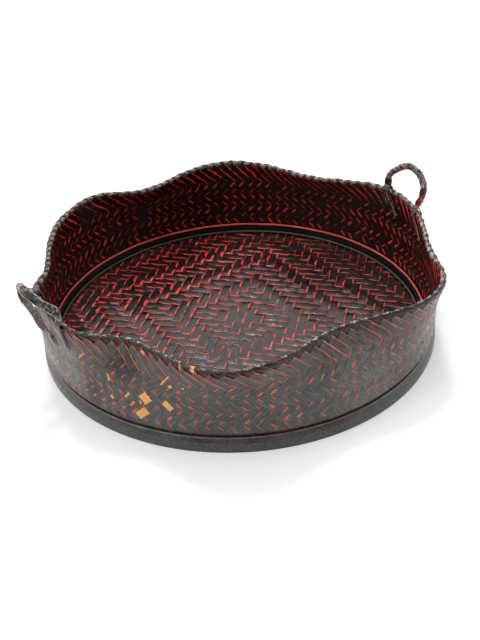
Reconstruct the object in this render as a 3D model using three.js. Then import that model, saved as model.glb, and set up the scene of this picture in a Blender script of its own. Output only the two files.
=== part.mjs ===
import * as THREE from 'three';

const { lerp, clamp } = THREE.MathUtils;

// Round tray of woven bamboo with a six-lobed rim and two handles of twisted strips.
// Millimetres, +Z up, the table at Z = 0, +X out through the right handle.

// Clearance between pieces that touch on the real tray
const seatGap = 0.4;

// Foot hoop, the smooth band that the tray stands on
const footRadius = 165;
const footHeight = 12;
const footThickness = 3.8;
const footTopThickness = 1.2;
const footBevel = 1.6;

// Outer basket: the woven base and the woven wall in one
const basketSkin = 1.5;
const baseLift = 1.2;
const baseCorner = 1.4;
const wallSetback = 1.2;
const bulgeRise = 8;

// Lining: the woven wall folded down inside
const liningSkin = 1.3;

// Floor mat, inner hoop and the cord that hides the joint between them
const matThickness = 2.1;
const innerHoopHeight = 8.3;
const innerHoopFoot = 3.1;
const innerHoopTop = 1.2;
const cordRadius = 1;

// Rim: height of its core, and how far it swings out (+) or in (-) of the plain round wall.
// Each pair is an azimuth in degrees and a swing as a share of lobeDepth.
const rimHeight = 74;
const rimCoreRadius = 1.4;
const bindingSkin = 0.7;
const bindingDrop = 2.6;
const flarePower = 2.2;
const lobeDepth = 10;
const rimShape = [
  [6.7, 0.46],
  [34.5, -1.75],
  [67.6, 0.79],
  [100.3, -2.19],
  [119, 0.59],
  [164.5, -1.16],
  [178, -0.01],
  [199, 0],
  [216.3, -1.37],
  [243.4, 0.82],
  [274.9, -1.73],
  [307.9, 0.75],
  [329.9, -0.78],
];

// Handles: two split strips twisted into a cord, each with a rounded back. At a foot they
// flatten and part over the rim, and their tails lie on the walls.
const stripThickness = 1;
const stripWidth = 6;
const stripCrown = 1.6;
const looseCrown = 0.5;
const tailWidth = 7;
const tailTip = 2.4;
const tailDrop = 18;
const rimHug = 7;

// A route point is its distance along the rim, out from it and above it, as shares of
// routeLength. Feet are degrees round from the middle of the handle. The lean of a tail is how
// far it goes round for each step down, and the tilt is the cord's angle at its feet.
const routeLength = 10;
const rightHandle = {
  azimuth: 0,
  halfTurns: 11,
  startFoot: 8.7,
  endFoot: -8.9,
  route: [
    [2.5, -0.08, 1.3],
    [1.5, 0, 2.28],
    [-0.3, 0, 3.22],
    [-1.8, 0, 3],
    [-2.6, -0.16, 2.4],
    [-2.76, -0.34, 1.4],
  ],
  lean: 1.1,
  tilt: 0,
};
const leftHandle = {
  azimuth: 185.3,
  halfTurns: 4,
  startFoot: -7.6,
  route: [
    [-2.2, 0.66, 0.54],
    [-2.04, 0.87, 0.85],
    [-1.7, 1, 1.17],
    [-1.22, 1.09, 1.46],
    [-0.62, 1.18, 1.72],
    [0, 1.27, 1.93],
    [0.5, 1.34, 2.06],
  ],
  lean: 0.9,
  tilt: 60,
};

// Loose ends leave the cord before the second foot. Each of their route points also has the
// direction in which the strip faces. One goes on over the rim. The other goes down to the
// wall, where its tail is given in degrees round and in shares of routeLength below the rim.
const looseLoop = {
  route: [
    [1, 1.28, 2.14, 0.5, 0.2, 0.8],
    [1.45, 1, 1.9, 0.5, 0.1, 0.85],
    [1.95, 0.68, 1.58, 0.75, 0.6, 0.1],
    [2.4, 0.3, 1.29, 0.8, 0.5, 0.3],
    [2.8, -0.06, 1.04, 0.4, 0.5, 0.75],
  ],
  foot: 10.9,
  lean: 0.4,
  tilt: 0,
};
const looseBrace = {
  route: [
    [0.78, 1.42, 1.82, 0.5, 0.3, 0.8],
    [0.82, 1.36, 1.4, 0.8, 0.5, 0.3],
    [0.68, 1.16, 0.8, 0.7, 0.7, 0.2],
    [0.6, 0.86, 0, 0.7, 0.7, 0.3],
    [0.62, 0.6, -1.1, 0.55, 0.8, 0.3],
  ],
  tail: [
    [3.4, 1.75],
    [4.7, 2.1],
    [6.7, 2.4],
  ],
};

// Fineness
const stations = 120;
const hoopFacets = 96;
const cordFacets = 72;
const stepsPerTurn = 14;

// Derived radii and heights, from the outside in and from the table up
const footInside = footRadius - footThickness;
const basketFoot = footInside - seatGap;
const footLine = basketFoot - basketSkin - seatGap / 2;
const wallLine = footRadius - wallSetback - basketSkin - seatGap / 2;
const liningFoot = footLine - seatGap / 2 - liningSkin;
const baseTop = baseLift + basketSkin;
const liningBottom = baseTop + seatGap;
const matTop = liningBottom + matThickness;
const wallTop = rimHeight - rimCoreRadius - seatGap;
const bulgeTop = footHeight + bulgeRise;
const wallShares = [0, 0.45, 0.75, 1];
const wallHeights = wallShares.slice(1).map((part) => lerp(bulgeTop, wallTop, part));

const degrees = 180 / Math.PI;

function wrap(value, period) {
  return ((value % period) + period) % period;
}

function ease(part) {
  return (1 - Math.cos(Math.PI * clamp(part, 0, 1))) / 2;
}

function rimSwing(azimuth) {
  for (let i = 0; i < rimShape.length; i += 1) {
    const [from, low] = rimShape[i];
    const [to, high] = rimShape[(i + 1) % rimShape.length];
    const part = wrap(azimuth - from, 360) / wrap(to - from, 360);
    if (part < 1) return lerp(low, high, ease(part)) * lobeDepth;
  }
  return rimShape[0][1] * lobeDepth;
}

// Share of the rim's swing that the wall has at a height, straight between its rings
function flareAt(z) {
  const share = clamp((z - bulgeTop) / (wallTop - bulgeTop), 0, 1);
  const ring = Math.max(wallShares.findIndex((level) => share <= level), 1);
  const [low, high] = wallShares.slice(ring - 1, ring + 1);
  return lerp(low ** flarePower, high ** flarePower, (share - low) / (high - low));
}

// Radius of the line between the two skins of the wall
function skinLine(azimuth, z) {
  const bulge = clamp((z - footHeight) / bulgeRise, 0, 1);
  return lerp(footLine, wallLine, bulge) + flareAt(z) * rimSwing(azimuth);
}

// One ring of the wall: the line between the skins, moved outwards by an offset
function wallRing(z, offset) {
  const line = [];
  for (let i = 0; i < stations; i += 1) {
    const angle = (i * 2 * Math.PI) / stations;
    const radius = skinLine(angle * degrees, z);
    line.push(new THREE.Vector3(radius * Math.cos(angle), radius * Math.sin(angle), z));
  }
  return line.map((point, i) => {
    const before = line.at(i - 1);
    const after = line[(i + 1) % stations];
    const outward = new THREE.Vector3(after.y - before.y, before.x - after.x, 0).normalize();
    return point.clone().addScaledVector(outward, offset);
  });
}

// Closed skin over rings of equal length. It is either joined round, from the last ring to
// the first, or closed by a fan at each end. Faces that look at each other across a gap are
// split alike, so that the gap stays even.
function skin(rings, { joined = false, strip = false } = {}) {
  const points = rings.flat();
  const count = rings[0].length;
  const faces = [];
  const bands = joined ? rings.length : rings.length - 1;
  for (let band = 0; band < bands; band += 1) {
    const low = band * count;
    const high = ((band + 1) % rings.length) * count;
    const falling = points[high].z < points[low].z;
    for (let i = 0; i < count; i += 1) {
      const next = (i + 1) % count;
      const split = strip ? i >= count / 2 : falling;
      if (split) {
        faces.push(low + i, low + next, high + i);
        faces.push(low + next, high + next, high + i);
      } else {
        faces.push(low + i, low + next, high + next);
        faces.push(low + i, high + next, high + i);
      }
    }
  }
  if (!joined) {
    const last = (rings.length - 1) * count;
    const first = points.push(middleOf(rings[0])) - 1;
    const end = points.push(middleOf(rings.at(-1))) - 1;
    for (let i = 0; i < count; i += 1) {
      const next = (i + 1) % count;
      faces.push(first, next, i);
      faces.push(end, last + i, last + next);
    }
  }
  const geometry = new THREE.BufferGeometry().setFromPoints(points);
  geometry.setIndex(faces);
  geometry.computeVertexNormals();
  return geometry;
}

function middleOf(points) {
  const sum = new THREE.Vector3();
  points.forEach((point) => sum.add(point));
  return sum.divideScalar(points.length);
}

// Round ring with the given outline, a list of radius and height taken outside first
function roundRing(outline, facets) {
  const rings = outline.map(([radius, z]) => {
    const ring = [];
    for (let i = 0; i < facets; i += 1) {
      const angle = (i * 2 * Math.PI) / facets;
      ring.push(new THREE.Vector3(radius * Math.cos(angle), radius * Math.sin(angle), z));
    }
    return ring;
  });
  return rings;
}

function footHoop() {
  const outline = [
    [footInside, 0],
    [footRadius, 0],
    [footRadius - footBevel / 4, footHeight - 3 * footBevel],
    [footInside + footTopThickness, footHeight],
    [footInside, footHeight],
  ];
  return skin(roundRing(outline, hoopFacets), { joined: true });
}

function outerBasket() {
  const outside = basketSkin + seatGap / 2;
  const inside = seatGap / 2;
  const rings = [
    wallRing(baseLift, outside - baseCorner),
    wallRing(baseLift + baseCorner, outside),
    wallRing(footHeight, outside),
    wallRing(bulgeTop, outside),
    ...wallHeights.map((z) => wallRing(z, outside)),
    ...wallHeights.toReversed().map((z) => wallRing(z, inside)),
    wallRing(bulgeTop, inside),
    wallRing(footHeight, inside),
    wallRing(baseTop, inside),
  ];
  return skin(rings);
}

function lining() {
  const outside = -seatGap / 2;
  const inside = outside - liningSkin;
  const heights = [liningBottom, footHeight, bulgeTop, ...wallHeights];
  const rings = [
    ...heights.map((z) => wallRing(z, outside)),
    ...heights.toReversed().map((z) => wallRing(z, inside)),
  ];
  return skin(rings, { joined: true });
}

function floorMat() {
  const radius = liningFoot - seatGap;
  const outline = [
    [radius, liningBottom],
    [radius, matTop],
  ];
  return skin(roundRing(outline, cordFacets));
}

function innerHoop() {
  const outside = liningFoot - seatGap;
  const bottom = matTop + seatGap;
  const outline = [
    [outside - innerHoopFoot, bottom],
    [outside, bottom],
    [outside, bottom + innerHoopHeight],
    [outside - innerHoopTop, bottom + innerHoopHeight],
  ];
  return skin(roundRing(outline, cordFacets), { joined: true });
}

function floorCord() {
  const middle = liningFoot - 2 * seatGap - innerHoopFoot - cordRadius;
  const height = matTop + seatGap + cordRadius;
  const outline = [];
  const sides = 6;
  for (let i = 0; i < sides; i += 1) {
    const angle = (i * 2 * Math.PI) / sides - Math.PI / 2;
    outline.push([middle + cordRadius * Math.cos(angle), height + cordRadius * Math.sin(angle)]);
  }
  return skin(roundRing(outline, cordFacets), { joined: true });
}

function rimCore() {
  const rings = [];
  const sides = 6;
  for (let i = 0; i < sides; i += 1) {
    const angle = (i * 2 * Math.PI) / sides - Math.PI / 2;
    const ring = wallRing(wallTop, rimCoreRadius * Math.cos(angle));
    ring.forEach((point) => {
      point.z = rimHeight + rimCoreRadius * Math.sin(angle);
    });
    rings.push(ring);
  }
  return skin(rings, { joined: true });
}

// The strip ends folded over the core: a channel with its mouth over both skins
const channelOut = basketSkin + 1.5 * seatGap;
const channelIn = liningSkin + 1.5 * seatGap;
const channelRoof = rimCoreRadius + 1.2 * seatGap;
const rimOut = channelOut + bindingSkin;
const rimIn = channelIn + bindingSkin;

function rimBinding() {
  const shoulder = rimCoreRadius * 0.65;
  const leg = wallTop - rimHeight;
  const outline = [
    [rimOut, -bindingDrop],
    [rimOut, leg],
    [rimOut, shoulder],
    [rimOut / 2, channelRoof + bindingSkin],
    [-rimIn / 2, channelRoof + bindingSkin],
    [-rimIn, shoulder],
    [-rimIn, leg],
    [-rimIn, -bindingDrop],
    [-channelIn, -bindingDrop],
    [-channelIn, leg],
    [-channelIn, shoulder],
    [0, channelRoof],
    [channelOut, shoulder],
    [channelOut, leg],
    [channelOut, -bindingDrop],
  ];
  const rings = outline.map(([offset, height]) => {
    const ring = wallRing(Math.min(rimHeight + height, wallTop), offset);
    ring.forEach((point) => {
      point.z = rimHeight + height;
    });
    return ring;
  });
  return skin(rings, { joined: true });
}

// A point on a face of the wall and the wall's outward direction there
function wallPoint(azimuth, z, offset) {
  const part = wrap(azimuth, 360) / (360 / stations);
  const place = Math.floor(part);
  const face = wallRing(z, offset);
  const line = wallRing(z, 0);
  const pick = (ring) => ring[place].clone().lerp(ring[(place + 1) % stations], part - place);
  const along = line[(place + 1) % stations].clone().sub(line[place]);
  const outward = new THREE.Vector3(along.y, -along.x, 0).normalize();
  return { point: pick(face), outward };
}

// Distances of the middle of a strip: from a face that it lies on, and from its partner's
const stripRest = 1.6 * seatGap + stripThickness / 2;
const pairRest = stripThickness / 2 + 0.8 * seatGap;
const footRise = channelRoof + bindingSkin + 3 * stripRest;

// A place over the core, moved out from it and up, with a direction in the same upright plane
function overCore(azimuth, [out, up], [facingOut, facingUp]) {
  const { point, outward } = wallPoint(azimuth, wallTop, out);
  outward.multiplyScalar(facingOut).setZ(facingUp);
  return { point: point.setZ(rimHeight + up), outward, width: tailWidth };
}

// Where the cord ends above the core. The tilt is its angle outwards from upright.
function cordFoot(azimuth, tilt, height) {
  const sine = Math.sin(tilt / degrees);
  const cosine = Math.cos(tilt / degrees);
  const foot = overCore(azimuth, [height * sine, height * cosine], [cosine, -sine]);
  const core = overCore(azimuth, [0, 0], [1, 0]);
  return { ...foot, along: foot.point.clone().sub(core.point).normalize() };
}

// Flat end of a strip from there over the binding, down to the shoulder on one side
function overRim(azimuth, side, tilt) {
  const reach = side > 0 ? rimOut : rimIn;
  const roof = channelRoof + bindingSkin;
  const shoulder = rimCoreRadius * 0.65;
  const slanted = [0.77, side * 0.64];
  const out = 0.77 * stripRest;
  const up = 0.64 * stripRest;
  const first = cordFoot(azimuth, tilt, footRise - 1.5 * stripRest);
  first.point.addScaledVector(first.outward, side * pairRest);
  const frames = [first];
  if (side * tilt < -20) {
    frames.push(overCore(azimuth, [-side * 0.55 * reach, roof + stripRest], [0, side]));
  }
  if (side * tilt < 20) {
    frames.push(overCore(azimuth, [side * (reach / 2 + out), roof + up], slanted));
  }
  if (side * tilt < 50) {
    frames.push(overCore(azimuth, [side * (reach + out), shoulder + up], slanted));
  }
  return frames;
}

// A place on the wall below the rim. Beside the rim it passes outside the binding.
function downWall(azimuth, drop, side) {
  const besideRim = side > 0 ? rimOut + stripRest + seatGap / 2 : -rimIn - stripRest - seatGap / 2;
  const skinFace = side > 0 ? basketSkin + seatGap / 2 : -liningSkin - seatGap / 2;
  const tuck = ease((drop - bindingDrop) / rimHug);
  const z = Math.min(rimHeight - drop, wallTop);
  const place = wallPoint(azimuth, z, lerp(besideRim, skinFace + side * stripRest, tuck));
  place.point.z = rimHeight - drop;
  return place;
}

// The whole foot of one strip, from above the rim to the narrow end of its tail
function footFrames(azimuth, side, { lean, tilt }) {
  const tail = [0, 0.16, 0.4, 0.7, 1].map((share) => {
    const drop = share * tailDrop;
    const round = (side * lean * drop * ease(share)) / wallLine;
    const width = lerp(tailWidth, tailTip, ease(2 * share - 1));
    return { ...downWall(azimuth + round * degrees, drop, side), width };
  });
  return [...overRim(azimuth, side, tilt), ...tail];
}

// Direction or place beside a handle's middle, from parts along the rim, out from it and up
function towards({ azimuth }, [forward, outward, up]) {
  const angle = azimuth / degrees;
  const out = new THREE.Vector3(Math.cos(angle), Math.sin(angle), 0);
  const along = new THREE.Vector3(-Math.sin(angle), Math.cos(angle), 0);
  return along.multiplyScalar(forward).addScaledVector(out, outward).setZ(up);
}

function besideHandle(handle, place) {
  const middle = wallPoint(handle.azimuth, wallTop, 0).point.setZ(rimHeight);
  return middle.addScaledVector(towards(handle, place), routeLength);
}

// Twisted stretch of one strip. Towards a foot it loses its rounded back and lies flat, and
// towards a loose end it moves away from its partner.
function twistedStretch(handle, side) {
  const { azimuth, startFoot, endFoot, tilt } = handle;
  const start = cordFoot(azimuth + startFoot, tilt, footRise);
  const route = [start.point, ...handle.route.map((place) => besideHandle(handle, place))];
  const whole = endFoot !== undefined;
  const end = cordFoot(azimuth + (endFoot ?? 0), tilt, footRise);
  if (whole) route.push(end.point);
  const curve = new THREE.CatmullRomCurve3(route);
  const length = curve.getLength();
  const steps = Math.round((handle.halfTurns / 2) * stepsPerTurn);
  const frames = [];
  for (let i = 0; i <= steps; i += 1) {
    const share = i / steps;
    const tangent = curve.getTangentAt(share);
    const outward = start.outward.clone().lerp(end.outward, share);
    const across = outward.addScaledVector(tangent, -outward.dot(tangent)).normalize();
    const beside = tangent.clone().cross(across);
    const phase = Math.PI * handle.halfTurns * lerp(share, ease(share), 0.35);
    const thin = across.multiplyScalar(Math.cos(phase)).addScaledVector(beside, Math.sin(phase));
    const toFoot = Math.min(share, whole ? 1 - share : 1) * length;
    const flatness = 1 - ease(toFoot / rimHug);
    const looseness = whole ? 0 : 1 - ease(((1 - share) * length) / rimHug);
    frames.push({
      point: curve.getPointAt(share).addScaledVector(thin, side * lerp(1, 1.6, looseness) * pairRest),
      thin,
      tangent,
      width: lerp(stripWidth, tailWidth, Math.max(flatness, looseness)),
      crown: lerp(lerp(stripCrown, 0, flatness), looseCrown, looseness),
    });
  }
  return frames;
}

// Frames of a foot or a tail, turned the same way round as the frame that they follow
function settle(places, { thin, tangent }) {
  return places.map(({ point, outward, along, width }) => ({
    point,
    thin: outward.clone().multiplyScalar(Math.sign(outward.dot(thin))),
    tangent: tangent && along?.clone().multiplyScalar(Math.sign(along.dot(tangent))),
    width,
    crown: 0,
  }));
}

// Frames of a loose end between the cord and the place where it lands
function looseStretch(handle, from, route, to) {
  const places = route.map((place) => besideHandle(handle, place.slice(0, 3)));
  const curve = new THREE.CatmullRomCurve3([from.point, ...places, to.point]);
  const faces = [from.thin];
  [...route.map((place) => towards(handle, place.slice(3))), to.outward].forEach((face) => {
    const sign = Math.sign(face.dot(faces.at(-1)));
    faces.push(face.clone().normalize().multiplyScalar(sign));
  });
  const spans = faces.length - 1;
  const stepsPerSpan = 3;
  const frames = [];
  for (let i = 1; i < spans * stepsPerSpan; i += 1) {
    const share = i / stepsPerSpan;
    const span = Math.floor(share);
    frames.push({
      point: curve.getPoint(share / spans),
      thin: faces[span].clone().lerp(faces[span + 1], share - span).normalize(),
      width: tailWidth,
      crown: looseCrown,
    });
  }
  return frames;
}

// Solid strip through a list of places, each with its flat direction, its width and the rise
// of its back. In the cord both strips share the direction of the curve that they run round.
function stripSolid(frames, side) {
  const across = [-1, -0.6, 0, 0.6, 1];
  const rings = frames.map((frame, i) => {
    const { point, thin, width, crown } = frame;
    const before = frames[Math.max(i - 1, 0)].point;
    const after = frames[Math.min(i + 1, frames.length - 1)].point;
    const tangent = frame.tangent ?? after.clone().sub(before).normalize();
    const flat = thin.clone().addScaledVector(tangent, -thin.dot(tangent)).normalize();
    const wide = tangent.clone().cross(flat);
    const face = (away) => across.map((part) => {
      const rise = away === side ? crown * (1 - part ** 2) : 0;
      return point
        .clone()
        .addScaledVector(flat, away * (stripThickness / 2 + rise))
        .addScaledVector(wide, (part * width) / 2);
    });
    return [...face(1), ...face(-1).reverse()];
  });
  return skin(rings, { strip: true });
}

// One strip of a handle, from its tail at one foot to its tail at the other
function handleStrip(handle, side, loose) {
  const { azimuth, startFoot, endFoot } = handle;
  const twist = twistedStretch(handle, side);
  const last = twist.at(-1);
  const start = settle(footFrames(azimuth + startFoot, side, handle), twist[0]).reverse();
  if (!loose) {
    const endSide = handle.halfTurns % 2 ? -side : side;
    const end = settle(footFrames(azimuth + endFoot, endSide, handle), last);
    return stripSolid([...start, ...twist, ...end], side);
  }
  const landing = loose.tail
    ? loose.tail.map(([turned, drop], i) => ({
      ...downWall(azimuth + turned, drop * routeLength, 1),
      width: lerp(tailWidth, tailTip, i / 2),
    }))
    : footFrames(azimuth + loose.foot, 1, loose);
  const middle = looseStretch(handle, last, loose.route, landing[0]);
  return stripSolid([...start, ...twist, ...middle, ...settle(landing, middle.at(-1))], side);
}

function lacquer(color, roughness) {
  return new THREE.MeshStandardMaterial({ color, roughness, metalness: 0 });
}

const wovenLacquer = lacquer('#2c1512', 0.35);
const hoopLacquer = lacquer('#231f1c', 0.3);
const cordLacquer = lacquer('#3a1410', 0.4);
const stripLacquer = lacquer('#1f1a18', 0.3);

const tray = new THREE.Group();

function add(name, geometry, material) {
  const mesh = new THREE.Mesh(geometry, material);
  mesh.name = name;
  tray.add(mesh);
}

add('foot_hoop', footHoop(), hoopLacquer);
add('outer_basket', outerBasket(), wovenLacquer);
add('inner_lining', lining(), wovenLacquer);
add('floor_mat', floorMat(), wovenLacquer);
add('inner_hoop', innerHoop(), hoopLacquer);
add('floor_cord', floorCord(), cordLacquer);
add('rim_core', rimCore(), cordLacquer);
add('rim_binding', rimBinding(), wovenLacquer);
add('right_handle_strip_a', handleStrip(rightHandle, 1), stripLacquer);
add('right_handle_strip_b', handleStrip(rightHandle, -1), stripLacquer);
add('left_handle_strip_a', handleStrip(leftHandle, 1, looseBrace), stripLacquer);
add('left_handle_strip_b', handleStrip(leftHandle, -1, looseLoop), stripLacquer);

// The origin is on the table, under the middle of the whole tray
const box = new THREE.Box3().setFromObject(tray);
const middle = box.getCenter(new THREE.Vector3());
tray.position.set(-middle.x, -middle.y, 0);

export default tray;
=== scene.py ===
import math

import bmesh
import bpy
import numpy as np
from mathutils import Matrix, Vector
from mathutils.bvhtree import BVHTree
from mathutils.kdtree import KDTree


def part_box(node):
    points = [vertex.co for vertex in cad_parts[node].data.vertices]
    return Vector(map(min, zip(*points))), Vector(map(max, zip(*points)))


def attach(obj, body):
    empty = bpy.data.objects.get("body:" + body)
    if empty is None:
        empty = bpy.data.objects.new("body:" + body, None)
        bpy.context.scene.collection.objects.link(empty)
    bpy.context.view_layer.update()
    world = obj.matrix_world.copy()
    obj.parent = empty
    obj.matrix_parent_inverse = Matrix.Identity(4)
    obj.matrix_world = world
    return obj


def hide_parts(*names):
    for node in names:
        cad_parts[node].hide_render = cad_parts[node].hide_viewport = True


# Looks of a round tray of woven bamboo, black lacquer over red. Metres and degrees, in the
# frame of the CAD part: +Z up, +X out through the upright handle.
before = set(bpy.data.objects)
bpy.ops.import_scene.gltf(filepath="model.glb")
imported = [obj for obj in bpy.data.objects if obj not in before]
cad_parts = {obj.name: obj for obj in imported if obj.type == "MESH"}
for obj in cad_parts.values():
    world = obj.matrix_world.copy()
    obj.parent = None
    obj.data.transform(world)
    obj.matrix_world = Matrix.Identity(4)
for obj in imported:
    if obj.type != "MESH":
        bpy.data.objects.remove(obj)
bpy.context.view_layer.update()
rng = np.random.default_rng(7)

hoopLow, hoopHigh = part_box("foot_hoop")
trayAxis = (hoopLow + hoopHigh) / 2  # the round body stands a little off the origin
footRadius = (hoopHigh.x - hoopLow.x) / 2
footTop = hoopHigh.z
print("frame loaded, foot radius", round(footRadius, 4))


# The wall's shape, as in the CAD part
wallShape = {
    "footLine": footRadius - 0.0059,  # line between the two skins, behind the foot hoop
    "wallLine": footRadius - 0.0029,  # the same above the hoop
    "outerRise": 0.005,  # height over which the outer face swells out over the hoop
    "innerRise": 0.03,
    "bulgeTop": footTop + 0.008,  # from here up the wall turns from a circle to the lobed rim
    "top": 0.0722,
    "flarePower": 2.2,
}


# Radius of the rim at even steps round, read off the CAD piece and smoothed
def readRim(rays=120, steps=1440):
    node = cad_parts["rim_core"]
    places = [vertex.co for vertex in node.data.vertices]
    tree = BVHTree.FromPolygons(places, [face.vertices for face in node.data.polygons])
    low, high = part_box("rim_core")
    centre = Vector((trayAxis.x, trayAxis.y, (low.z + high.z) / 2))
    outside = 0.4  # distance that is well outside the tray
    radii = []
    for k in range(rays):
        angle = 2 * math.pi * k / rays
        out = Vector((math.cos(angle), math.sin(angle), 0))
        inner = tree.ray_cast(centre, out)[3]
        outer = outside - tree.ray_cast(centre + outside * out, -out)[3]
        radii.append((inner + outer) / 2)
    return np.fft.irfft(np.fft.rfft(radii), steps) * steps / rays


rimRadii = readRim()
rimHeight = sum(corner.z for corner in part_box("rim_core")) / 2


def rimRadius(azimuth):
    grid = np.arange(len(rimRadii)) * 360 / len(rimRadii)
    return np.interp(azimuth, grid, rimRadii, period=360)


def smooth(part):
    part = np.clip(part, 0, 1)
    return part * part * (3 - 2 * part)


# Points on the wall: azimuth, height, and offset outwards from the line between the skins
def wallPoint(azimuth, height, offset):
    azimuth, height, offset = np.broadcast_arrays(azimuth, height, offset)
    low = np.minimum(height, wallShape["top"])
    flare = np.clip((low - wallShape["bulgeTop"]) / (wallShape["top"] - wallShape["bulgeTop"]), 0, 1)
    flare = flare ** wallShape["flarePower"]
    rise = np.where(offset < 0, wallShape["innerRise"], wallShape["outerRise"])
    bulge = smooth((low - footTop) / rise)
    base = wallShape["footLine"] + (wallShape["wallLine"] - wallShape["footLine"]) * bulge
    beside = 0.5  # degrees to either side, to find the slope of the outline

    def radius(at):
        return base + flare * (rimRadius(at) - wallShape["wallLine"])

    r = radius(azimuth)
    slope = (radius(azimuth + beside) - radius(azimuth - beside)) / math.radians(2 * beside)
    cos, sin = np.cos(np.radians(azimuth)), np.sin(np.radians(azimuth))
    nx, ny = r * cos + slope * sin, r * sin - slope * cos
    length = np.hypot(nx, ny)
    x = trayAxis.x + r * cos + offset * nx / length
    y = trayAxis.y + r * sin + offset * ny / length
    return np.stack([x, y, height], -1)


def addToScene(data):
    thing = bpy.data.objects.new(data.name, data)
    bpy.context.scene.collection.objects.link(thing)
    return thing


# A piece of the tray, which stands for a CAD node
def makePiece(mesh, materials, node):
    thing = addToScene(mesh)
    for material in materials:
        mesh.materials.append(material)
    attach(thing, "root")
    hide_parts(node)
    return thing


# Numbers per strip or per station as an array of strips x stations x columns
def perStrip(numbers):
    return numbers[:, None, None]


def perStation(numbers):
    return numbers[None, :, None]


# Many grids of points in one mesh. Arrays are strips x stations x columns, or short of an axis
# along which they don't change. uvs holds pairs of such arrays, and values single ones.
def gridMesh(name, points, uvs, values, flip=False):
    shape = strips, rows, columns = points.shape[:3]
    index = np.arange(strips * rows * columns).reshape(strips, rows, columns)
    corners = [index[:, :-1, :-1], index[:, 1:, :-1], index[:, 1:, 1:], index[:, :-1, 1:]]
    if flip:
        corners.reverse()
    quads = np.stack(corners, -1).reshape(-1, 4)
    mesh = bpy.data.meshes.new(name)
    mesh.vertices.add(points.size // 3)
    mesh.vertices.foreach_set("co", points.astype(np.float32).ravel())
    mesh.loops.add(quads.size)
    mesh.loops.foreach_set("vertex_index", quads.astype(np.int32).ravel())
    mesh.polygons.add(len(quads))
    mesh.polygons.foreach_set("loop_start", np.arange(0, quads.size, 4, dtype=np.int32))
    for key, pair in uvs.items():
        places = np.stack([np.broadcast_to(numbers, shape).ravel() for numbers in pair], -1)
        layer = mesh.uv_layers.new(name=key)
        layer.data.foreach_set("uv", places[quads.ravel()].astype(np.float32).ravel())
    for key, numbers in values.items():
        attribute = mesh.attributes.new(key, "FLOAT", "POINT")
        attribute.data.foreach_set("value", np.broadcast_to(numbers, shape).astype(np.float32).ravel())
    mesh.update()
    mesh.validate()
    mesh.shade_smooth()
    return mesh


# Distances along an outline to each of its points, in centimetres
def reachAlong(outline):
    spans = np.hypot(*np.diff(np.array(outline), axis=0).T)
    return np.concatenate([[0], np.cumsum(spans)]) * 100


# Round body turned from an outline of radius and height. Its map is distance along the
# outline and round the tray, in centimetres.
def turned(name, outline, segments=360):
    outline = np.array(outline + outline[:1])
    turn = perStation(np.linspace(0, 2 * math.pi, segments + 1))
    x = trayAxis.x + outline[:, 0] * np.cos(turn)
    y = trayAxis.y + outline[:, 0] * np.sin(turn)
    points = np.stack([x, y, np.broadcast_to(outline[:, 1], x.shape)], -1)
    mesh = gridMesh(name, points, {"Outline": (reachAlong(outline), turn * footRadius * 100)}, {})
    weld(mesh)
    return mesh


def joinDoubles(body):
    bmesh.ops.remove_doubles(body, verts=body.verts, dist=1e-6)
    bmesh.ops.recalc_face_normals(body, faces=body.faces)


def weld(mesh):
    body = bmesh.new()
    body.from_mesh(mesh)
    joinDoubles(body)
    body.to_mesh(mesh)
    body.free()


# Round the corners of an outline. A corner takes at most a share of the sides beside it.
def rounded(outline, radius, steps=3, share=0.45):
    points = []
    for i, corner in enumerate(outline):
        corner = np.array(corner)
        before = np.array(outline[i - 1]) - corner
        after = np.array(outline[(i + 1) % len(outline)]) - corner
        reach = min(radius, share * np.hypot(*before), share * np.hypot(*after))
        start = corner + before / np.hypot(*before) * reach
        end = corner + after / np.hypot(*after) * reach
        for k in range(steps + 1):
            t = k / steps
            points.append(tuple((1 - t) ** 2 * start + 2 * t * (1 - t) * corner + t ** 2 * end))
    return points


# Short ways to write shader nodes. A value is a number, a colour or another node's output.
class Nodes:
    def __init__(self, tree):
        self.tree = tree

    def put(self, value, socket):
        if isinstance(value, bpy.types.NodeSocket):
            self.tree.links.new(value, socket)
        else:
            socket.default_value = value

    def add(self, kind, inputs=(), **settings):
        node = self.tree.nodes.new("ShaderNode" + kind)
        for key, value in settings.items():
            setattr(node, key, value)
        for key, value in dict(inputs).items():
            self.put(value, node.inputs[key])
        return node.outputs

    def math(self, operation, *values, clamp=False):
        return self.add("Math", enumerate(values), operation=operation, use_clamp=clamp)[0]

    def plus(self, a, b):
        return self.math("ADD", a, b)

    def minus(self, a, b):
        return self.math("SUBTRACT", a, b)

    def times(self, a, b):
        return self.math("MULTIPLY", a, b)

    def size(self, value):
        return self.math("ABSOLUTE", value)

    def mix(self, part, a, b):
        return self.add("Mix", {0: part, 6: a, 7: b}, data_type="RGBA")[2]

    def remap(self, value, low, high, to=(0.0, 1.0)):
        return self.add("MapRange", enumerate((value, low, high, *to)), clamp=True)[0]

    def noise(self, vector, scale, detail=2.0):
        return self.add("TexNoise", {"Vector": vector, "Scale": scale, "Detail": detail})["Fac"]

    def vector(self, *parts):
        return self.add("CombineXYZ", enumerate(parts))[0]

    def split(self, vector):
        return self.add("SeparateXYZ", {0: vector})

    def vectors(self, operation, *values):
        return self.add("VectorMath", enumerate(values), operation=operation)

    def place(self):
        return self.add("TexCoord")["Object"]

    def map(self, name):
        return self.add("UVMap", uv_map=name)[0]

    def vertex(self, name):
        return self.add("Attribute", attribute_name=name)["Fac"]

    def group(self, tree, inputs):
        return self.add("Group", inputs, node_tree=tree)


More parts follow.
